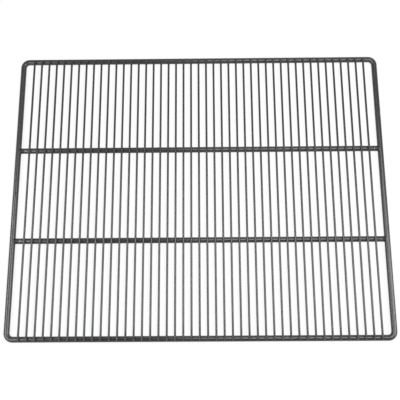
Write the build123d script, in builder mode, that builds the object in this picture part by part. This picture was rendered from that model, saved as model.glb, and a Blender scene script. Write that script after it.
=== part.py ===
"""Wire refrigerator shelf: a bent outer rail, two cross bars and a deck of thin wires welded on top.

Millimetres. X runs left to right, Y front to back and Z up. The origin is on the surface the shelf lies on,
under the middle of its outline. All diameters are measured over the coating.
"""

import os

from build123d import *

os.makedirs("parts", exist_ok=True)

# Outer rail: one wire bent to a closed rectangle
shelf_width = 608.4  # overall, left to right
shelf_depth = 471.4  # overall, front to back
rail_diameter = 9.2
bend_inside_radius = 5.3  # on the inner side of each corner bend

# Cross bars, left to right under the deck
cross_bar_diameter = 9.2
front_bay = 153.0  # front rail to front cross bar, axis to axis
middle_bay = 150.6  # front cross bar to rear cross bar, axis to axis
cross_bar_bite = 1.6  # how far each end is sunk into its side rail

# Deck wires, front to back over the rails and the cross bars
deck_wire_diameter = 3.4
deck_wire_pitch = 12.7
least_side_gap = 16.0  # side rail axis to the nearest deck wire axis, at least
front_overhang = 2.4  # deck wire end past the front rail axis
rear_overhang = 0.8  # deck wire end past the rear rail axis

# Outer rail: axis lines and bends
rail_radius = rail_diameter / 2
rail_x = shelf_width / 2 - rail_radius
rail_y = shelf_depth / 2 - rail_radius
rail_level = Plane.XY.offset(rail_radius)
bend_radius = bend_inside_radius + rail_radius

# Cross bars: level with the top of the rail
cross_bar_radius = cross_bar_diameter / 2
cross_bar_z = rail_diameter - cross_bar_radius
front_bar_y = front_bay - rail_y
rear_bar_y = front_bar_y + middle_bay
cross_bar_half_length = rail_x - rail_radius + cross_bar_bite

# Deck wires: resting on the bars, as many as the pitch allows, centred between the side rails
deck_wire_radius = deck_wire_diameter / 2
deck_wire_z = rail_diameter + deck_wire_radius
deck_wire_count = int((2 * rail_x - 2 * least_side_gap) // deck_wire_pitch) + 1
first_wire_x = -(deck_wire_count - 1) * deck_wire_pitch / 2
deck_front_y = -rail_y - front_overhang
deck_rear_y = rail_y + rear_overhang


# Outer rail
with BuildPart() as perimeter_rail:
    with BuildLine(rail_level) as rail_path:
        FilletPolyline(
            (-rail_x, -rail_y),
            (rail_x, -rail_y),
            (rail_x, rail_y),
            (-rail_x, rail_y),
            radius=bend_radius,
            close=True,
        )
    with BuildSketch(Plane(origin=rail_path.line @ 0, z_dir=rail_path.line % 0)):
        Circle(rail_radius)
    sweep(path=rail_path.line)
perimeter_rail.part.label = "perimeter_rail"
export_step(perimeter_rail.part, "parts/perimeter_rail.step")


# Cross bars, sheared square and sunk into the side rails
for bar_name, bar_y in (("cross_bar_front", front_bar_y), ("cross_bar_rear", rear_bar_y)):
    with BuildPart() as cross_bar:
        with BuildSketch(Plane.YZ.offset(-cross_bar_half_length)):
            with Locations((bar_y, cross_bar_z)):
                Circle(cross_bar_radius)
        extrude(amount=2 * cross_bar_half_length)

        # Seat of each end on the round of its side rail
        with BuildSketch(Plane.XZ.offset(-bar_y)):
            with Locations((-rail_x, rail_radius), (rail_x, rail_radius)):
                Circle(rail_radius)
        extrude(amount=cross_bar_diameter, both=True, mode=Mode.SUBTRACT)
    cross_bar.part.label = bar_name
    export_step(cross_bar.part, f"parts/{bar_name}.step")


# Deck wires, each laid over the front rail, both cross bars and the rear rail
for wire_number in range(1, deck_wire_count + 1):
    wire_x = first_wire_x + (wire_number - 1) * deck_wire_pitch
    with BuildPart() as deck_wire:
        with BuildSketch(Plane.XZ.offset(-deck_rear_y)):
            with Locations((wire_x, deck_wire_z)):
                Circle(deck_wire_radius)
        extrude(amount=deck_rear_y - deck_front_y)
    deck_wire.part.label = f"deck_wire_{wire_number:02d}"
    export_step(deck_wire.part, f"parts/deck_wire_{wire_number:02d}.step")
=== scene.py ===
"""Dressed scene of a wire refrigerator shelf with a satin grey coating.

Metres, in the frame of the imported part: X runs left to right, Y front to back and Z up. The shelf lies on
the floor at Z 0. Every rail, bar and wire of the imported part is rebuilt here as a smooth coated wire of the
same form, with the coating that has run into each weld as a small fillet of its own.
"""

import logging
import math
import random
from collections.abc import Iterator, Sequence
from dataclasses import dataclass, field
from enum import Enum

import bpy
from mathutils import Matrix, Vector


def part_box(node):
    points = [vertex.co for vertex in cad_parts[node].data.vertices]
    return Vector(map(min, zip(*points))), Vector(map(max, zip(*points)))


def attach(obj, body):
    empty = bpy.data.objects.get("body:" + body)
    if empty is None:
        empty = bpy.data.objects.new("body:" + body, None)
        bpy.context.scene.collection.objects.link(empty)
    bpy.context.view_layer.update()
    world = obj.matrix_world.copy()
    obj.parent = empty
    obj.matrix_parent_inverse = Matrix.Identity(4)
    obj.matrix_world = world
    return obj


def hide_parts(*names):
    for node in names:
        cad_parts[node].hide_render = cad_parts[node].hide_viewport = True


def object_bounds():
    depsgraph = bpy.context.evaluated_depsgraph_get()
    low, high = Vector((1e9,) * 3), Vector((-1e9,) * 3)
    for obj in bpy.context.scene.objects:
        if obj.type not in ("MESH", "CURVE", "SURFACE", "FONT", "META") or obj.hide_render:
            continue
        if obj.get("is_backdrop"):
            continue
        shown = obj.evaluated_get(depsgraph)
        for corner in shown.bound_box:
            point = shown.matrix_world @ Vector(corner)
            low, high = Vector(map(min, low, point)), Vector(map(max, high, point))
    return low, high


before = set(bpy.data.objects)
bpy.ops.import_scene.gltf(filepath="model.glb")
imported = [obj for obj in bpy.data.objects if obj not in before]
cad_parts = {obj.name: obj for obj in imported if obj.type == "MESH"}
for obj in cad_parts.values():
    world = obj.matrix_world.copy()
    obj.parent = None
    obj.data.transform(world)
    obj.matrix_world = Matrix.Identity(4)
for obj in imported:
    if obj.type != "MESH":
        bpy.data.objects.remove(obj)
CAD_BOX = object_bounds()

LOG = logging.getLogger("shelf")
MM = 0.001
UP = Vector((0.0, 0.0, 1.0))
BODY = "root"
TEXTURE_LAYOUT = "OFBake"
WELD_GROOVE_SHADE = "weld_groove_shade"

# Smallest share of a direction that a length is divided by
LEAST_SHARE = 1e-6


class End(Enum):
    """End of a left-to-right bar, by the sign of its X."""

    LEFT = -1
    RIGHT = 1


class Crossing(Enum):
    """The four bars under each deck wire, from the front."""

    FRONT_RAIL = "front_rail"
    FRONT_BAR = "front_cross_bar"
    REAR_BAR = "rear_cross_bar"
    REAR_RAIL = "rear_rail"


def spaced(start: float, stop: float, longest: float) -> list[float]:
    """Divides a run evenly from start to stop, both among the places, by steps of at most longest."""
    steps = max(1, math.ceil(abs(stop - start) / longest))
    return [start + (stop - start) * i / steps for i in range(steps + 1)]


def full_turn(count: int) -> list[float]:
    """Divides a full turn evenly into a number of angles, from 0."""
    return [2 * math.pi * i / count for i in range(count)]


def bend_through(first: Vector, corner: Vector, last: Vector, share: float) -> Vector:
    """Gives the point at a share of the curve from first to last whose end tangents meet at corner."""
    rest = 1.0 - share
    return first * rest * rest + corner * 2.0 * share * rest + last * share * share


def put_in_scene(name: str, data: bpy.types.ID) -> bpy.types.Object:
    """Makes an object and puts it in the scene.

    Args:
        name: Name of the object.
        data: Its mesh, lamp or camera.

    Returns:
        The object.
    """
    made = bpy.data.objects.new(name, data)
    bpy.context.scene.collection.objects.link(made)
    return made


@dataclass(frozen=True)
class Patch:
    """Part of the texture square that one tube is laid out on, as strips that run along the tube.

    Attributes:
        left: Its left edge in the square.
        bottom: Its lower edge in the square.
        size: Its width and height in the square.
        strips: How many strips the tube is cut into.
        margin: Share of a strip that stays free along each edge.
    """

    left: float = 0.0
    bottom: float = 0.0
    size: float = 1.0
    strips: int = 1
    margin: float = 0.04

    def place(self, along: float, across: float, strip: int) -> tuple[float, float]:
        """Places a point of the tube.

        Args:
            along: Share of the strip's length.
            across: Share of the way round the tube.
            strip: Number of the strip, from 0.

        Returns:
            The point's place in the texture square.
        """
        inner = 1.0 - 2.0 * self.margin
        u = self.left + self.size * (self.margin + inner * along)
        v = self.bottom + self.size * (strip + self.margin + inner * across) / self.strips
        return u, v

    @staticmethod
    def grid(count: int) -> list["Patch"]:
        """Shares the square out among a number of tubes.

        Args:
            count: How many tubes there are.

        Returns:
            One patch for each of them.
        """
        columns = math.ceil(math.sqrt(count))
        size = 1.0 / columns
        return [Patch((i % columns) * size, (i // columns) * size, size) for i in range(count)]


@dataclass
class WireSkin:
    """Smooth skin of one piece, made of tubes that are stretched over rings of points.

    Attributes:
        points: Points of the mesh.
        faces: Its faces, as the numbers of their points.
        layout: Place of each face's corners in the texture square.
        weld_groove_shade: How much painted shade of the rail's weld groove each point has, from 0 to 1.
    """

    points: list[Vector] = field(default_factory=list)
    faces: list[tuple[int, ...]] = field(default_factory=list)
    layout: list[tuple[float, float]] = field(default_factory=list)
    weld_groove_shade: list[float] = field(default_factory=list)

    def add_loop(self, rings: Sequence[Sequence[Vector]], groove_shades: Sequence[float], patch: Patch) -> None:
        """Adds a tube that runs back into itself, with how much painted shade of the weld groove each ring
        has.
        """
        self._add_bands([*rings, rings[0]], [*groove_shades, groove_shades[0]], patch, joined=True)

    def add_rod(
        self, rings: Sequence[Sequence[Vector]], first_cap: Vector, last_cap: Vector, patch: Patch
    ) -> None:
        """Adds a tube with both ends closed.

        Args:
            rings: Rings of points along the tube.
            first_cap: Middle of the face over the first ring.
            last_cap: Middle of the face over the last ring.
            patch: Where the tube lies in the texture square.
        """
        around = len(rings[0])
        start = len(self.points)
        self._add_bands(rings, [0.0] * len(rings), patch, joined=False)
        last = start + (len(rings) - 1) * around
        outside = patch.margin / 2
        ends = (
            (start, first_cap, 0.0, -outside, 0, 1),
            (last, last_cap, 1.0, 1.0 + outside, patch.strips - 1, -1),
        )
        for base, middle, rim_along, middle_along, strip, turn in ends:
            centre = len(self.points)
            self.points.append(middle)
            self.weld_groove_shade.append(0.0)
            for j in range(around):
                pair = (j, j + 1)[::turn]
                self.faces.append((centre, *(base + k % around for k in pair)))
                self.layout.append(patch.place(middle_along, (j + 0.5) / around, strip))
                self.layout.extend(patch.place(rim_along, k / around, strip) for k in pair)

    def _add_bands(
        self, rings: Sequence[Sequence[Vector]], groove_shades: Sequence[float], patch: Patch, joined: bool
    ) -> None:
        """Adds the bands of faces between rings that follow each other.

        Args:
            rings: Rings of points along the tube.
            groove_shades: How much painted shade of the weld groove each ring has, from 0 to 1.
            patch: Where the tube lies in the texture square.
            joined: Whether the last ring is the first one again.
        """
        around = len(rings[0])
        start = len(self.points)
        kept = len(rings) - 1 if joined else len(rings)
        # Each ring's points, with the painted shade of the weld groove that they carry
        for ring, tone in zip(rings[:kept], groove_shades[:kept]):
            self.points.extend(ring)
            self.weld_groove_shade.extend([tone] * around)

        # Length of the tube up to each ring
        along = [0.0]
        for near, far in zip(rings, rings[1:]):
            along.append(along[-1] + max((b - a).length for a, b in zip(near, far)))

        # Strip that each band lies in, and where each strip starts and ends along the tube
        strip_length = along[-1] / patch.strips
        bands = [min(int((a + b) / 2 / strip_length), patch.strips - 1) for a, b in zip(along, along[1:])]
        first_in = {strip: along[bands.index(strip)] for strip in set(bands)}
        last_in = {strip: along[len(bands) - bands[::-1].index(strip)] for strip in set(bands)}
        longest = max(last_in[strip] - first_in[strip] for strip in first_in)

        # Faces of each band, with their corners' places in its strip
        for i, strip in enumerate(bands):
            near_share, far_share = ((at - first_in[strip]) / longest for at in along[i : i + 2])
            near, far = start + i * around, start + (i + 1) % kept * around
            for j in range(around):
                k = (j + 1) % around
                self.faces.append((near + j, far + j, far + k, near + k))
                corners = ((near_share, j), (far_share, j), (far_share, j + 1), (near_share, j + 1))
                self.layout.extend(patch.place(share, turn / around, strip) for share, turn in corners)

    def piece(self, name: str) -> bpy.types.Object:
        """Makes the skin into an object of the scene.

        Args:
            name: Name of the piece.

        Returns:
            The object, smooth shaded and with its texture layout.
        """
        mesh = bpy.data.meshes.new(name)
        mesh.from_pydata(self.points, [], self.faces)
        mesh.shade_smooth()
        layout = mesh.uv_layers.new(name=TEXTURE_LAYOUT)
        layout.uv.foreach_set("vector", [value for place in self.layout for value in place])
        # Painted shade of the rail's weld groove, kept on each point
        tone = mesh.attributes.new(WELD_GROOVE_SHADE, "FLOAT", "POINT")
        tone.data.foreach_set("value", self.weld_groove_shade)
        mesh.validate()
        return put_in_scene(name, mesh)


@dataclass(frozen=True)
class SatinCoating:
    """Baked satin coating over drawn steel wire: a faint orange peel, cloudy tone, uneven gloss and painted
    shade in a weld groove.

    Attributes:
        name: Name of the material.
        dark: Colour of its darker patches.
        light: Colour of its lighter patches.
        roughness: Its lowest and highest roughness.
        shine: Its specular level.
        cloud_size: Width of the wide patches of tone.
        cloud_detail: Octaves of finer patches in the wide ones.
        specks_per_cloud: How many small patches fit across a wide one.
        peel_size: Width of the orange peel's dimples.
        peel_depth: Their depth.
        fine_detail: Octaves of finer patches in the small ones and in the dimples.
        gloss_span: Part of the small patches' pattern over which the roughness changes.
        speck_share: How much the small patches add to the tone.
        groove_shade_share: How much the painted shade of a weld groove adds to the tone: it takes some away.
        weld: Colour of the painted shade at the bottom of a weld groove.
        tone_stops: Tones that have the painted shade of a weld groove, the dark and the light colour.
    """

    name: str
    dark: tuple[float, float, float]
    light: tuple[float, float, float]
    roughness: tuple[float, float]
    shine: float = 0.68
    cloud_size: float = 22.0 * MM
    cloud_detail: float = 4.0
    specks_per_cloud: float = 14.0
    peel_size: float = 0.9 * MM
    peel_depth: float = 0.016 * MM
    fine_detail: float = 2.0
    gloss_span: tuple[float, float] = (0.3, 0.7)
    speck_share: float = 0.35
    groove_shade_share: float = -0.6
    # Painted shade at the bottom of the rail's weld groove
    weld: tuple[float, float, float] = (0.012, 0.012, 0.013)
    tone_stops: tuple[float, float, float] = (0.06, 0.42, 0.94)

    def material(self) -> bpy.types.Material:
        """Makes the finish into a material.

        Returns:
            The material, the same one each time it is asked for.
        """
        made = bpy.data.materials.get(self.name)
        if made is None:
            made = bpy.data.materials.new(self.name)
            made.use_nodes = True
            self._wire_up(made.node_tree)
        return made

    def dress(self, piece: bpy.types.Object) -> None:
        """Puts the finish on a piece."""
        piece.data.materials.clear()
        piece.data.materials.append(self.material())

    def _wire_up(self, tree: bpy.types.NodeTree) -> None:
        """Builds the node tree.

        Args:
            tree: The material's own tree, with its Principled shader in it.
        """
        shader = tree.nodes["Principled BSDF"]
        shader.inputs["Metallic"].default_value = 0.0
        shader.inputs["Specular IOR Level"].default_value = self.shine
        place = tree.nodes.new("ShaderNodeTexCoord").outputs["Object"]
        clouds = self._noise(tree, place, self.cloud_size, self.cloud_detail)
        specks = self._noise(tree, place, self.cloud_size / self.specks_per_cloud, self.fine_detail)
        peel = self._noise(tree, place, self.peel_size, self.fine_detail)

        # Colour
        shader.inputs["Base Color"].default_value = (*self.light, 1.0)
        tree.links.new(self._tone(tree, clouds, specks), shader.inputs["Base Color"])

        # Uneven gloss
        gloss = tree.nodes.new("ShaderNodeMapRange")
        gloss.inputs["From Min"].default_value = self.gloss_span[0]
        gloss.inputs["From Max"].default_value = self.gloss_span[1]
        gloss.inputs["To Min"].default_value = self.roughness[0]
        gloss.inputs["To Max"].default_value = self.roughness[1]
        tree.links.new(specks, gloss.inputs["Value"])
        tree.links.new(gloss.outputs["Result"], shader.inputs["Roughness"])

        # Orange peel
        relief = tree.nodes.new("ShaderNodeBump")
        relief.inputs["Strength"].default_value = 1.0
        relief.inputs["Distance"].default_value = self.peel_depth
        tree.links.new(peel, relief.inputs["Height"])
        tree.links.new(relief.outputs["Normal"], shader.inputs["Normal"])

    def _tone(
        self, tree: bpy.types.NodeTree, clouds: bpy.types.NodeSocket, specks: bpy.types.NodeSocket
    ) -> bpy.types.NodeSocket:
        """Mixes the coating's colour from its patches, and darkens it with painted shade in the rail's weld
        groove.

        Args:
            tree: The material's node tree.
            clouds: Wide patches of tone.
            specks: Small patches of tone.

        Returns:
            The colour.
        """
        # Painted shade in the rail's weld groove, darker where the groove is deeper
        weld = tree.nodes.new("ShaderNodeAttribute")
        weld.attribute_name = WELD_GROOVE_SHADE
        patches = self._sum(tree, specks, self.speck_share, clouds)
        patches = self._sum(tree, weld.outputs["Fac"], self.groove_shade_share, patches)
        ramp = tree.nodes.new("ShaderNodeValToRGB")
        stops = ramp.color_ramp.elements
        stops.new(self.tone_stops[0])
        for stop, position, colour in zip(stops, self.tone_stops, (self.weld, self.dark, self.light)):
            stop.position = position
            stop.color = (*colour, 1.0)
        tree.links.new(patches, ramp.inputs["Fac"])
        return ramp.outputs["Color"]

    @staticmethod
    def _sum(
        tree: bpy.types.NodeTree, extra: bpy.types.NodeSocket, share: float, base: bpy.types.NodeSocket
    ) -> bpy.types.NodeSocket:
        """Adds a share of one pattern to another.

        Args:
            tree: The material's node tree.
            extra: The pattern that is added.
            share: How much of it.
            base: The pattern that it is added to.

        Returns:
            The sum.
        """
        node = tree.nodes.new("ShaderNodeMath")
        node.operation = "MULTIPLY_ADD"
        node.inputs[1].default_value = share
        tree.links.new(extra, node.inputs[0])
        tree.links.new(base, node.inputs[2])
        return node.outputs["Value"]

    @staticmethod
    def _noise(
        tree: bpy.types.NodeTree, place: bpy.types.NodeSocket, size: float, detail: float
    ) -> bpy.types.NodeSocket:
        """Adds a noise pattern.

        Args:
            tree: The material's node tree.
            place: Where on the piece the pattern is read.
            size: Width of its patches.
            detail: Octaves of finer patches in it.

        Returns:
            The pattern, from 0 to 1.
        """
        noise = tree.nodes.new("ShaderNodeTexNoise")
        noise.inputs["Scale"].default_value = 1.0 / size
        noise.inputs["Detail"].default_value = detail
        tree.links.new(place, noise.inputs["Vector"])
        return noise.outputs["Fac"]


def hand_over(piece: bpy.types.Object, finish: SatinCoating, *stands_for: str) -> None:
    """Dresses a piece and hands it to the frame.

    Args:
        piece: The finished piece.
        finish: What it is coated with.
        stands_for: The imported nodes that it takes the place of.
    """
    finish.dress(piece)
    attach(piece, BODY)
    if stands_for:
        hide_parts(*stands_for)
    LOG.info("%s: %d faces", piece.name, len(piece.data.polygons))


@dataclass(frozen=True)
class Station:
    """One ring of the rail.

    Attributes:
        place: Middle of the ring.
        outward: Direction away from the middle of the shelf.
        radius: Radius of the ring.
        weld: How much painted shade of the weld groove it has, from 0 to 1.
    """

    place: Vector
    outward: Vector
    radius: float
    weld: float = 0.0


@dataclass
class PerimeterRail:
    """Outer rail: one wire bent to a rectangle, closed by a butt weld half way along its left side.

    Attributes:
        node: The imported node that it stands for.
        bend_inside: Radius of each bend on its inner side.
        weld_half_width: Half the width of the butt weld's groove.
        weld_depth: Depth of the groove.
        weld_margin: How far the close rings round the groove reach, in half widths.
        sides: Points in a ring.
        bend_steps: Rings in a bend.
        weld_steps: Steps between the close rings.
        longest_step: Longest step between rings on a straight run.
        texture_strips: Strips of its texture patch.
        radius: Radius of the wire.
        axis_x: X of the right side's axis.
        axis_y: Y of the rear side's axis.
        axis_z: Z of the axis.
        bend: Radius of each bend on its axis.
    """

    node: str = "perimeter_rail"
    bend_inside: float = 5.3 * MM
    weld_half_width: float = 1.0 * MM
    weld_depth: float = 0.5 * MM
    weld_margin: float = 1.3
    sides: int = 56
    bend_steps: int = 14
    weld_steps: int = 20
    longest_step: float = 45.0 * MM
    texture_strips: int = 9
    radius: float = field(init=False)
    axis_x: float = field(init=False)
    axis_y: float = field(init=False)
    axis_z: float = field(init=False)
    bend: float = field(init=False)

    def __post_init__(self) -> None:
        """Measures the rail in the frame."""
        low, high = (Vector(corner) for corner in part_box(self.node))
        self.radius = (high.z - low.z) / 2
        self.axis_x = high.x - self.radius
        self.axis_y = high.y - self.radius
        self.axis_z = (high.z + low.z) / 2
        self.bend = self.bend_inside + self.radius

    def stations(self) -> Iterator[Station]:
        """Walks round the rail, anticlockwise from its front left bend.

        Yields:
            Each ring's station.
        """
        run_x, run_y = self.axis_x - self.bend, self.axis_y - self.bend
        for x in spaced(-run_x, run_x, self.longest_step)[:-1]:
            yield self._station(x, -self.axis_y, -math.pi / 2)
        yield from self._bend(run_x, -run_y, -math.pi / 2)
        for y in spaced(-run_y, run_y, self.longest_step)[:-1]:
            yield self._station(self.axis_x, y, 0.0)
        yield from self._bend(run_x, run_y, 0.0)
        for x in spaced(run_x, -run_x, self.longest_step)[:-1]:
            yield self._station(x, self.axis_y, math.pi / 2)
        yield from self._bend(-run_x, run_y, math.pi / 2)
        edge = self.weld_margin * self.weld_half_width
        for y in spaced(run_y, edge, self.longest_step)[:-1]:
            yield self._station(-self.axis_x, y, math.pi)
        for y in spaced(edge, -edge, 2 * edge / self.weld_steps):
            yield self._weld_station(y)
        for y in spaced(-edge, -run_y, self.longest_step)[1:-1]:
            yield self._station(-self.axis_x, y, math.pi)
        yield from self._bend(-run_x, -run_y, math.pi)

    def build(self, finish: SatinCoating) -> None:
        """Builds and dresses the rail.

        Args:
            finish: What it is coated with.
        """
        stations = list(self.stations())
        rings = [self._ring(station) for station in stations]
        skin = WireSkin()
        # Each ring carries the painted shade of the weld groove
        skin.add_loop(rings, [station.weld for station in stations], Patch(strips=self.texture_strips))
        hand_over(skin.piece("coated_rail"), finish, self.node)

    def _station(self, x: float, y: float, facing: float) -> Station:
        """Gives a plain station that faces outward at an angle."""
        outward = Vector((math.cos(facing), math.sin(facing), 0.0))
        return Station(Vector((x, y, self.axis_z)), outward, self.radius)

    def _bend(self, x: float, y: float, facing: float) -> Iterator[Station]:
        """Walks round one bend.

        Args:
            x: Middle of the bend.
            y: Middle of the bend.
            facing: Which way is outward where the bend starts.

        Yields:
            Each ring's station, up to the last one before the next straight run.
        """
        for step in range(self.bend_steps):
            angle = facing + math.pi / 2 * step / self.bend_steps
            yield self._station(x + self.bend * math.cos(angle), y + self.bend * math.sin(angle), angle)

    def _weld_station(self, y: float) -> Station:
        """Gives a station of the butt weld, a groove that the coating has softened and whose bottom is
        painted darker as shade.

        Args:
            y: Place along the left side.

        Returns:
            The station.
        """
        share = min(1.0, abs(y) / self.weld_half_width)
        sunk = (1 + math.cos(math.pi * share)) / 2
        place = Vector((-self.axis_x, y, self.axis_z))
        # The groove's depth here also sets how much painted shade it gets
        return Station(place, Vector((-1.0, 0.0, 0.0)), self.radius - self.weld_depth * sunk, sunk)

    def _ring(self, station: Station) -> list[Vector]:
        """Gives the points of one ring.

        Args:
            station: Where the ring stands.

        Returns:
            The points, from outward towards up.
        """
        return [
            station.place + station.radius * (math.cos(turn) * station.outward + math.sin(turn) * UP)
            for turn in full_turn(self.sides)
        ]


@dataclass
class CrossBar:
    """Bar from side rail to side rail, with each end sunk into its rail and a fillet of coating round it.

    Attributes:
        node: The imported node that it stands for.
        rail: The rail that it is welded to.
        sides: Points in a ring.
        fillet: How far the fillets reach along the bar, and up and down the rail.
        fillet_steps: Steps across a fillet.
        highest_foot: How high a fillet reaches on the rail, in rail radii over its axis.
        limit_power: How sharply a fillet turns level there.
        hidden_share: Where a fillet's hidden rows lie, as a share of the radius of bar or rail.
        row_in_bar: Row of a fillet that is hidden in the bar. The rows that show run from 0 to 1.
        row_in_rail: Row of a fillet that is hidden in the rail.
        sunk: How deep the ends lie under the rail's surface.
        plain_from: Where the square rings start, in rail radii from the rail's axis.
        cap_reach: Where the middle of an end's face lies, in the same way.
        fillet_cap_reach: Where the middle of a fillet's hidden face lies, in the same way.
        longest_step: Longest step between rings.
        texture_strips: Strips of its texture patch.
        radius: Radius of the bar.
        axis_y: Y of its axis.
        axis_z: Z of its axis.
        end_reach: How far its ends stay from the rail's axis.
    """

    node: str
    rail: PerimeterRail
    sides: int = 48
    fillet: float = 0.9 * MM
    fillet_steps: int = 8
    highest_foot: float = 0.955
    limit_power: int = 8
    hidden_share: float = 0.9
    row_in_bar: float = -1.0
    row_in_rail: float = 2.0
    sunk: float = 0.05 * MM
    plain_from: float = 3.0
    cap_reach: float = 0.8
    fillet_cap_reach: float = 0.4
    longest_step: float = 45.0 * MM
    texture_strips: int = 5
    radius: float = field(init=False)
    axis_y: float = field(init=False)
    axis_z: float = field(init=False)
    end_reach: float = field(init=False)

    def __post_init__(self) -> None:
        """Measures the bar in the frame."""
        low, high = (Vector(corner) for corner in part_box(self.node))
        self.radius = (high.z - low.z) / 2
        self.axis_y = (high.y + low.y) / 2
        self.axis_z = (high.z + low.z) / 2
        self.end_reach = self.rail.axis_x - high.x

    def build(self, finish: SatinCoating) -> None:
        """Builds and dresses the bar.

        Args:
            finish: What it is coated with.
        """
        inner = self.rail.axis_x - self.plain_from * self.rail.radius
        rings = [self._end_ring(End.LEFT)]
        rings.extend(self._plain_ring(x) for x in spaced(-inner, inner, self.longest_step))
        rings.append(self._end_ring(End.RIGHT))
        first_cap, last_cap = (self._axis_point(end, self.cap_reach * self.rail.radius) for end in End)
        skin = WireSkin()
        skin.add_rod(rings, first_cap, last_cap, Patch(strips=self.texture_strips))
        hand_over(skin.piece(f"coated_{self.node}"), finish, self.node)

    def add_fillets(self, skin: WireSkin, patches: Iterator[Patch]) -> None:
        """Adds the fillets of coating round both ends.

        Args:
            skin: The skin that takes them.
            patches: Places in the texture square, one for each fillet.
        """
        for end in End:
            rows = [
                [self._fillet_point(end, turn, row) for turn in full_turn(self.sides)]
                for row in self._rows()
            ]
            bar_side = self._axis_point(end, self.rail.radius + self.fillet)
            rail_side = self._axis_point(end, self.fillet_cap_reach * self.rail.radius)
            skin.add_rod(rows, bar_side, rail_side, next(patches))

    def _rows(self) -> list[float]:
        """Gives a fillet's rows, from the one hidden in the bar to the one hidden in the rail."""
        shown = (i / self.fillet_steps for i in range(self.fillet_steps + 1))
        return [self.row_in_bar, *shown, self.row_in_rail]

    def _axis_point(self, end: End, inward: float) -> Vector:
        """Gives a point of the bar's axis, by how far inward of its rail's axis it lies."""
        return Vector((end.value * (self.rail.axis_x - inward), self.axis_y, self.axis_z))

    def _plain_ring(self, x: float) -> list[Vector]:
        """Gives the points of a ring square to the bar.

        Args:
            x: Place along the bar.

        Returns:
            The points, from up towards the rear.
        """
        ring = []
        for turn in full_turn(self.sides):
            rear, up = self.radius * math.sin(turn), self.radius * math.cos(turn)
            ring.append(Vector((x, self.axis_y + rear, self.axis_z + up)))
        return ring

    def _rail_surface(self, height: float) -> float:
        """Gives how far inward of its axis the rail's surface is at a height over the axis."""
        return math.sqrt(max(0.0, self.rail.radius**2 - height**2))

    def _end_ring(self, end: End) -> list[Vector]:
        """Gives the points of an end that sits on the rail's round.

        Args:
            end: Which end.

        Returns:
            The points.
        """
        ring = []
        for point in self._plain_ring(0.0):
            inward = max(self._rail_surface(point.z - self.rail.axis_z) - self.sunk, self.end_reach)
            ring.append(Vector((end.value * (self.rail.axis_x - inward), point.y, point.z)))
        return ring

    def _fillet_point(self, end: End, turn: float, row: float) -> Vector:
        """Gives one point of an end's fillet.

        Args:
            end: Which end.
            turn: Angle round the bar. It runs the other way at the left end, so that faces look outward.
            row: Share of the way from bar to rail, under 0 inside the bar and over 1 inside the rail.

        Returns:
            The point.
        """
        side, up = end.value * math.sin(turn), math.cos(turn)
        corner_in = max(self._rail_surface(self.radius * up), self.end_reach)
        on_bar = Vector((corner_in + self.fillet, self.radius * side, self.radius * up))
        corner = Vector((corner_in, self.radius * side, self.radius * up))

        # Foot on the rail, which turns level before the rail's top and bottom
        foot_up = (self.radius + self.fillet) * up
        limit = self.highest_foot * self.rail.radius
        foot_up /= (1.0 + abs(foot_up / limit) ** self.limit_power) ** (1 / self.limit_power)
        on_rail = Vector((self._rail_surface(foot_up), (self.radius + self.fillet) * side, foot_up))

        # Corner moved into the plane that touches the rail at the foot
        outward = Vector((on_rail.x, 0.0, on_rail.z)).normalized()
        corner -= outward * (corner - on_rail).dot(outward)

        if row < 0:
            point = Vector((on_bar.x, self.hidden_share * on_bar.y, self.hidden_share * on_bar.z))
        elif row > 1:
            point = Vector((self.hidden_share * on_rail.x, on_rail.y, self.hidden_share * on_rail.z))
        else:
            point = bend_through(on_bar, corner, on_rail, row)
        x = end.value * (self.rail.axis_x - point.x)
        return Vector((x, self.axis_y + point.y, self.axis_z + point.z))


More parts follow.
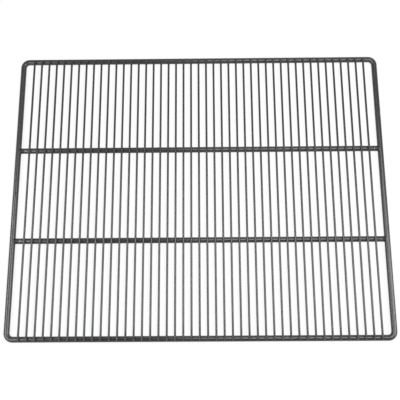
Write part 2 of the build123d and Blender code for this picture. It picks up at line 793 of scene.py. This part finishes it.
@dataclass
class WeldFillet:
    """Coating that has run into the corner between a deck wire and the bar that it crosses.

    Attributes:
        wire_radius: Radius of the deck wire.
        bar_radius: Radius of the bar.
        height: Gap between wire and bar at which the fillet lets go of them.
        front_limit: Farthest that it reaches to the front.
        rear_limit: Farthest that it reaches to the rear.
        sides: Columns round the contact.
        steps: Steps from bar to wire.
        bar_sink: How deep it is rooted in the bar, as a share of the way to the bar's axis.
        wire_sink: How deep it is rooted in the wire, as a share of the way to the wire's axis.
        widest: Widest reach that is tried, as a share of a radius.
        halvings: How often the reach is narrowed down.
        limit_power: How sharply the fillet stops near its limits.
    """

    wire_radius: float
    bar_radius: float
    height: float
    front_limit: float
    rear_limit: float
    sides: int = 24
    steps: int = 5
    bar_sink: float = 0.06
    wire_sink: float = 0.25
    widest: float = 0.96
    halvings: int = 30
    limit_power: int = 6

    def rows(self, contact: Vector) -> list[list[Vector]]:
        """Gives the rows of points about a contact, from one hidden in the bar to one hidden in the wire."""
        columns = [self._column(turn) for turn in full_turn(self.sides)]
        return [[contact + point for point in row] for row in zip(*columns)]

    def _column(self, turn: float) -> list[Vector]:
        """Gives the fillet's points in one direction from the contact.

        Args:
            turn: The direction, from the rear towards the right.

        Returns:
            The points, from bar to wire.
        """
        right, rear = math.sin(turn), math.cos(turn)
        out = self._reach(right, rear)
        dx, dy = out * right, out * rear
        wire_root = math.sqrt(self.wire_radius**2 - dx**2)
        bar_root = math.sqrt(self.bar_radius**2 - dy**2)
        on_wire = Vector((dx, dy, self.wire_radius - wire_root))
        on_bar = Vector((dx, dy, bar_root - self.bar_radius))

        # Corner where the slopes of wire and bar meet
        wire_slope, bar_slope = right * dx / wire_root, -rear * dy / bar_root
        back = (on_wire.z - on_bar.z) / (wire_slope - bar_slope)
        corner = Vector((dx - back * right, dy - back * rear, on_wire.z - back * wire_slope))

        column = [on_bar.lerp(Vector((dx, 0.0, -self.bar_radius)), self.bar_sink)]
        column.extend(bend_through(on_bar, corner, on_wire, i / self.steps) for i in range(self.steps + 1))
        column.append(on_wire.lerp(Vector((0.0, dy, self.wire_radius)), self.wire_sink))
        return column

    def _reach(self, right: float, rear: float) -> float:
        """Finds how far from the contact the fillet lets go of wire and bar.

        Args:
            right: Share of the direction to the right.
            rear: Share of the direction to the rear.

        Returns:
            The distance.
        """
        past_wire = self.wire_radius / max(abs(right), LEAST_SHARE)
        past_bar = self.bar_radius / max(abs(rear), LEAST_SHARE)
        least, most = 0.0, self.widest * min(past_wire, past_bar)
        for _ in range(self.halvings):
            middle = (least + most) / 2
            if self._gap(middle * right, middle * rear) < self.height:
                least = middle
            else:
                most = middle
        limit = (self.rear_limit if rear > 0 else self.front_limit) / max(abs(rear), LEAST_SHARE)
        return (least**-self.limit_power + limit**-self.limit_power) ** (-1 / self.limit_power)

    def _gap(self, dx: float, dy: float) -> float:
        """Gives the gap between wire and bar at a place beside their contact.

        Args:
            dx: How far to the right of the contact.
            dy: How far to the rear of it.

        Returns:
            The gap.
        """
        over_contact = self.wire_radius - math.sqrt(self.wire_radius**2 - dx**2)
        under_contact = self.bar_radius - math.sqrt(self.bar_radius**2 - dy**2)
        return over_contact + under_contact


@dataclass
class Deck:
    """Deck of thin wires from front to back, welded to the rail and the cross bars under them.

    Attributes:
        rail: The rail under its ends.
        front_bar: The front cross bar.
        rear_bar: The rear cross bar.
        node_start: What the names of the wires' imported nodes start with.
        sides: Points in a ring.
        end_round: Radius of the edge round each end.
        end_steps: Steps round that edge.
        longest_step: Longest step between rings.
        texture_strips: Strips of a wire's texture patch.
        fillet_height: Height of the fillets at the crossings.
        fillet_spread: Largest difference from that height, as a share of it.
        fillet_cap_depth: How deep a fillet's hidden face lies in its bar, in bar radii.
        seed: Start of the random heights.
        nodes: Names of the wires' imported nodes.
        places: X of each wire.
        radius: Radius of the wires.
        axis_z: Z of their axes.
        front: Y of their front ends.
        rear: Y of their rear ends.
    """

    rail: PerimeterRail
    front_bar: CrossBar
    rear_bar: CrossBar
    node_start: str = "deck_wire_"
    sides: int = 24
    end_round: float = 0.55 * MM
    end_steps: int = 4
    longest_step: float = 33.0 * MM
    texture_strips: int = 7
    fillet_height: float = 0.75 * MM
    fillet_spread: float = 0.18
    fillet_cap_depth: float = 0.3
    seed: int = 7
    nodes: list[str] = field(init=False)
    places: list[float] = field(init=False)
    radius: float = field(init=False)
    axis_z: float = field(init=False)
    front: float = field(init=False)
    rear: float = field(init=False)

    def __post_init__(self) -> None:
        """Finds the deck wires in the frame."""
        self.nodes = sorted(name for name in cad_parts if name.startswith(self.node_start))
        self.places = [sum(corner[0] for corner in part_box(node)) / 2 for node in self.nodes]
        low, high = (Vector(corner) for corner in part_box(self.nodes[0]))
        self.radius = (high.z - low.z) / 2
        self.axis_z = (high.z + low.z) / 2
        self.front, self.rear = low.y, high.y

    def build(self, finish: SatinCoating) -> None:
        """Builds and dresses every deck wire.

        Args:
            finish: What they are coated with.
        """
        for node, x in zip(self.nodes, self.places):
            rings = [self._ring(x, y, radius) for y, radius in self._stations()]
            first_cap, last_cap = (Vector((x, y, self.axis_z)) for y in (self.front, self.rear))
            skin = WireSkin()
            skin.add_rod(rings, first_cap, last_cap, Patch(strips=self.texture_strips))
            hand_over(skin.piece(f"coated_{node}"), finish, node)

    def build_fillets(self, finish: SatinCoating) -> None:
        """Builds and dresses the fillets of coating where the deck wires cross the bars.

        Args:
            finish: What they are coated with.
        """
        dice = random.Random(self.seed)
        contact_z = self.axis_z - self.radius
        for crossing in Crossing:
            skin = WireSkin()
            bar_y, bar_radius = self._bar_under(crossing)
            front_limit = bar_y - self.front - self.end_round
            rear_limit = self.rear - bar_y - self.end_round
            for x, patch in zip(self.places, Patch.grid(len(self.places))):
                height = self.fillet_height * (1.0 + self.fillet_spread * dice.uniform(-1.0, 1.0))
                fillet = WeldFillet(self.radius, bar_radius, height, front_limit, rear_limit)
                rows = fillet.rows(Vector((x, bar_y, contact_z)))
                in_bar = Vector((x, bar_y, contact_z - self.fillet_cap_depth * bar_radius))
                in_wire = Vector((x, bar_y, self.axis_z))
                skin.add_rod(rows, in_bar, in_wire, patch)
            hand_over(skin.piece(f"weld_fillets_{crossing.value}"), finish)

    def _bar_under(self, crossing: Crossing) -> tuple[float, float]:
        """Finds the bar at a crossing.

        Args:
            crossing: Which crossing.

        Returns:
            The Y of the bar's axis, and its radius.
        """
        return {
            Crossing.FRONT_RAIL: (-self.rail.axis_y, self.rail.radius),
            Crossing.FRONT_BAR: (self.front_bar.axis_y, self.front_bar.radius),
            Crossing.REAR_BAR: (self.rear_bar.axis_y, self.rear_bar.radius),
            Crossing.REAR_RAIL: (self.rail.axis_y, self.rail.radius),
        }[crossing]

    def _stations(self) -> list[tuple[float, float]]:
        """Walks along a wire, from the rounded edge of its front end to that of its rear end.

        Returns:
            The Y and the radius of each ring.
        """
        quarter = [math.pi / 2 * i / self.end_steps for i in range(self.end_steps)]
        edge = [
            (self.end_round * (1 - math.cos(turn)), self.radius - self.end_round * (1 - math.sin(turn)))
            for turn in quarter
        ]
        front = [(self.front + inset, radius) for inset, radius in edge]
        rear = [(self.rear - inset, radius) for inset, radius in reversed(edge)]
        run = spaced(self.front + self.end_round, self.rear - self.end_round, self.longest_step)
        return [*front, *((y, self.radius) for y in run), *rear]

    def _ring(self, x: float, y: float, radius: float) -> list[Vector]:
        """Gives the points of a ring square to the wire.

        Args:
            x: Place of the wire.
            y: Place along the wire.
            radius: Radius of the ring.

        Returns:
            The points, from the right towards up.
        """
        return [
            Vector((x + radius * math.cos(turn), y, self.axis_z + radius * math.sin(turn)))
            for turn in full_turn(self.sides)
        ]


@dataclass(frozen=True)
class SoftLamp:
    """Rectangular soft lamp that hangs level and looks straight down.

    Attributes:
        name: Name of the lamp.
        place: X and Y of its middle.
        size: Its width and depth.
        radiance: Brightness of its face.
        height: How high over the floor it hangs.
    """

    name: str
    place: tuple[float, float]
    size: tuple[float, float]
    radiance: float
    height: float = 0.80

    def build(self) -> None:
        """Puts the lamp up."""
        lamp = bpy.data.lights.new(self.name, "AREA")
        lamp.shape = "RECTANGLE"
        lamp.size, lamp.size_y = self.size
        lamp.energy = self.radiance * math.pi * self.size[0] * self.size[1]
        put_in_scene(self.name, lamp).matrix_world = Matrix.Translation((*self.place, self.height))
        LOG.info("%s: lamp", self.name)


@dataclass(frozen=True)
class PhotoCamera:
    """Camera at the photograph's place, given by what it looks at and how it is turned about that.

    Attributes:
        target: The point at the middle of the picture.
        distance: How far from that point it stands.
        elevation: Angle at which it looks down.
        yaw: How far it stands to the right of the front.
        roll: How far it is tilted sideways.
        lens: Focal length in millimetres.
        sensor: Width of the picture behind the lens, in millimetres.
        clip_start: Nearest distance that it shows.
    """

    target: tuple[float, float, float] = (1.29 * MM, -12.51 * MM, 4.4 * MM)
    distance: float = 888.0 * MM
    elevation: float = math.radians(78.0)
    yaw: float = math.radians(2.173)
    roll: float = math.radians(-2.537)
    lens: float = 49.19
    sensor: float = 36.0
    clip_start: float = 10.0 * MM

    def build(self) -> None:
        """Sets the camera up as the scene's own."""
        data = bpy.data.cameras.new("photo_camera")
        data.lens = self.lens
        data.sensor_width = self.sensor
        data.clip_start = self.clip_start
        level = math.cos(self.elevation)
        back = Vector((math.sin(self.yaw) * level, -math.cos(self.yaw) * level, math.sin(self.elevation)))
        right = Vector((math.cos(self.yaw), math.sin(self.yaw), 0.0))
        upward = back.cross(right)
        axes = (
            math.cos(self.roll) * right + math.sin(self.roll) * upward,
            math.cos(self.roll) * upward - math.sin(self.roll) * right,
            back,
        )
        place = Vector(self.target) + back * self.distance
        camera = put_in_scene("photo_camera", data)
        camera.matrix_world = Matrix.Translation(place) @ Matrix(axes).transposed().to_4x4()
        bpy.context.scene.camera = camera
        LOG.info("photo_camera: lens %.1f mm", self.lens)


@dataclass(frozen=True)
class SweepPaint:
    """White paint of the floor, which shows as plain white, keeps a faint shadow and dims up the wall.

    Attributes:
        name: Name of the material.
        paint_white: How much light the paint gives back.
        plain_white: Share of plain white over the paint, at the floor.
        wall_white: The same share high up the wall.
        fade_start: Height at which the share starts to fall.
        fade_stop: Height at which it has fallen.
    """

    name: str = "white_sweep"
    paint_white: float = 0.9
    plain_white: float = 0.9
    wall_white: float = 0.45
    fade_start: float = 0.5
    fade_stop: float = 1.5

    def material(self) -> bpy.types.Material:
        """Makes the paint into a material.

        Returns:
            The material.
        """
        made = bpy.data.materials.new(self.name)
        made.use_nodes = True
        tree = made.node_tree
        tree.nodes.clear()
        paint = tree.nodes.new("ShaderNodeBsdfDiffuse")
        paint.inputs["Color"].default_value = (self.paint_white, self.paint_white, self.paint_white, 1.0)
        plain = tree.nodes.new("ShaderNodeEmission")
        plain.inputs["Strength"].default_value = 1.0
        share = tree.nodes.new("ShaderNodeMath")
        share.operation = "MULTIPLY"
        tree.links.new(self._seen(tree), share.inputs[0])
        tree.links.new(self._share_at_height(tree), share.inputs[1])
        mix = tree.nodes.new("ShaderNodeMixShader")
        tree.links.new(share.outputs["Value"], mix.inputs["Fac"])
        tree.links.new(paint.outputs["BSDF"], mix.inputs[1])
        tree.links.new(plain.outputs["Emission"], mix.inputs[2])
        output = tree.nodes.new("ShaderNodeOutputMaterial")
        tree.links.new(mix.outputs["Shader"], output.inputs["Surface"])
        return made

    @staticmethod
    def _seen(tree: bpy.types.NodeTree) -> bpy.types.NodeSocket:
        """Tells rays from the camera, a reflection or a clear surface from the rest.

        Args:
            tree: The material's node tree.

        Returns:
            1 for those rays and 0 for the rest.
        """
        path = tree.nodes.new("ShaderNodeLightPath")
        seen = path.outputs["Is Camera Ray"]
        for other in ("Is Glossy Ray", "Is Transmission Ray"):
            either = tree.nodes.new("ShaderNodeMath")
            either.operation = "MAXIMUM"
            tree.links.new(seen, either.inputs[0])
            tree.links.new(path.outputs[other], either.inputs[1])
            seen = either.outputs["Value"]
        return seen

    def _share_at_height(self, tree: bpy.types.NodeTree) -> bpy.types.NodeSocket:
        """Lets the share of plain white fall up the wall.

        Args:
            tree: The material's node tree.

        Returns:
            The share.
        """
        place = tree.nodes.new("ShaderNodeTexCoord").outputs["Object"]
        height = tree.nodes.new("ShaderNodeSeparateXYZ")
        tree.links.new(place, height.inputs["Vector"])
        fade = tree.nodes.new("ShaderNodeMapRange")
        fade.interpolation_type = "SMOOTHSTEP"
        fade.inputs["From Min"].default_value = self.fade_start
        fade.inputs["From Max"].default_value = self.fade_stop
        fade.inputs["To Min"].default_value = self.plain_white
        fade.inputs["To Max"].default_value = self.wall_white
        tree.links.new(height.outputs["Z"], fade.inputs["Value"])
        return fade.outputs["Result"]


@dataclass(frozen=True)
class Floor:
    """Round floor that curves up into a wall.

    Attributes:
        radius: Radius of its level part.
        cove_radius: Radius of the curve up into the wall.
        wall_height: Height of the wall.
        ring_shares: Places of the rings on the level part, as shares of its radius.
        cove_steps: Steps up the curve.
        sides: Points in a ring.
    """

    radius: float = 2.2
    cove_radius: float = 0.7
    wall_height: float = 2.2
    ring_shares: tuple[float, ...] = (0.25, 0.5, 0.75)
    cove_steps: int = 10
    sides: int = 96

    def build(self, paint: SweepPaint) -> None:
        """Builds and paints the floor.

        Args:
            paint: What it is painted with.
        """
        profile = self._profile()
        points = [Vector((0.0, 0.0, 0.0))]
        for out, rise in profile:
            points.extend(
                Vector((out * math.cos(turn), out * math.sin(turn), rise)) for turn in full_turn(self.sides)
            )
        faces = [(0, 1 + i, 1 + (i + 1) % self.sides) for i in range(self.sides)]
        for ring in range(len(profile) - 1):
            near, far = 1 + ring * self.sides, 1 + (ring + 1) * self.sides
            for i in range(self.sides):
                j = (i + 1) % self.sides
                faces.append((near + i, far + i, far + j, near + j))
        mesh = bpy.data.meshes.new("floor")
        mesh.from_pydata(points, [], faces)
        mesh.shade_smooth()
        mesh.materials.append(paint.material())
        put_in_scene("floor", mesh)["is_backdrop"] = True
        LOG.info("floor: %d faces", len(faces))

    def _profile(self) -> list[tuple[float, float]]:
        """Walks from the middle of the floor to the top of the wall.

        Returns:
            The radius and the height of each ring.
        """
        profile = [(self.radius * share, 0.0) for share in self.ring_shares]
        for step in range(self.cove_steps + 1):
            angle = math.pi / 2 * step / self.cove_steps
            rise = self.cove_radius * (1 - math.cos(angle))
            profile.append((self.radius + self.cove_radius * math.sin(angle), rise))
        profile.append((self.radius + self.cove_radius, self.wall_height))
        return profile


@dataclass(frozen=True)
class Studio:
    """Plain white floor under the shelf, with soft lamps over it and a dim room round it.

    Attributes:
        room_light: Brightness of the room.
        lamps: The lamps.
    """

    room_light: float = 0.03
    lamps: tuple[SoftLamp, ...] = (
        SoftLamp("top_lamp", place=(0.28, 0.00), size=(0.64, 0.60), radiance=4.6),
        SoftLamp("left_lamp", place=(-0.75, -0.20), size=(0.30, 0.90), radiance=11.2),
        SoftLamp("right_lamp", place=(1.05, -0.20), size=(0.50, 0.50), radiance=11.6),
        SoftLamp("rear_lamp", place=(0.30, 0.75), size=(0.60, 0.30), radiance=2.3),
        SoftLamp("left_rear_lamp", place=(-0.30, 0.45), size=(0.60, 0.30), radiance=1.1),
    )

    def build(self) -> None:
        """Builds floor, room, lamps and camera."""
        bpy.context.scene.view_settings.view_transform = "Standard"
        Floor().build(SweepPaint())
        self._build_room()
        for lamp in self.lamps:
            lamp.build()
        PhotoCamera().build()

    def _build_room(self) -> None:
        """Sets the dim, even light of the room."""
        world = bpy.data.worlds.new("room")
        world.use_nodes = True
        background = world.node_tree.nodes["Background"]
        background.inputs["Color"].default_value = (1.0, 1.0, 1.0, 1.0)
        background.inputs["Strength"].default_value = self.room_light
        bpy.context.scene.world = world


WIRE_COATING = SatinCoating(
    "satin_grey_coating",
    dark=(0.0202, 0.02, 0.0213),
    light=(0.0292, 0.029, 0.0309),
    roughness=(0.24, 0.32),
)
# Coating of the weld fillets: darker than the wires' coating, as painted shade in the corners at the
# crossings and joints
FILLET_COATING_PAINTED_SHADE = SatinCoating(
    "satin_grey_fillet_coating_painted_shade",
    dark=(0.0187, 0.0185, 0.0197),
    light=(0.0267, 0.0265, 0.0282),
    roughness=(0.24, 0.30),
    cloud_size=6.0 * MM,
    peel_size=0.7 * MM,
)


def main() -> None:
    """Builds the shelf and the studio round it."""
    logging.basicConfig(level=logging.INFO, format="%(name)s %(message)s")
    rail = PerimeterRail()
    rail.build(WIRE_COATING)
    bars = [CrossBar(node, rail) for node in ("cross_bar_front", "cross_bar_rear")]
    end_fillets = WireSkin()
    patches = iter(Patch.grid(len(bars) * len(End)))
    for bar in bars:
        bar.build(WIRE_COATING)
        bar.add_fillets(end_fillets, patches)
    hand_over(end_fillets.piece("weld_fillets_cross_bar_ends"), FILLET_COATING_PAINTED_SHADE)
    deck = Deck(rail, *bars)
    deck.build(WIRE_COATING)
    deck.build_fillets(FILLET_COATING_PAINTED_SHADE)
    Studio().build()


def write_sizes() -> None:
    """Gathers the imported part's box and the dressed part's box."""
    boxes = {
        name: [[float(value) for value in corner] for corner in corners]
        for name, corners in (("cad", CAD_BOX), ("visual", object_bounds()))
    }


if __name__ == "__main__":
    main()
    write_sizes()
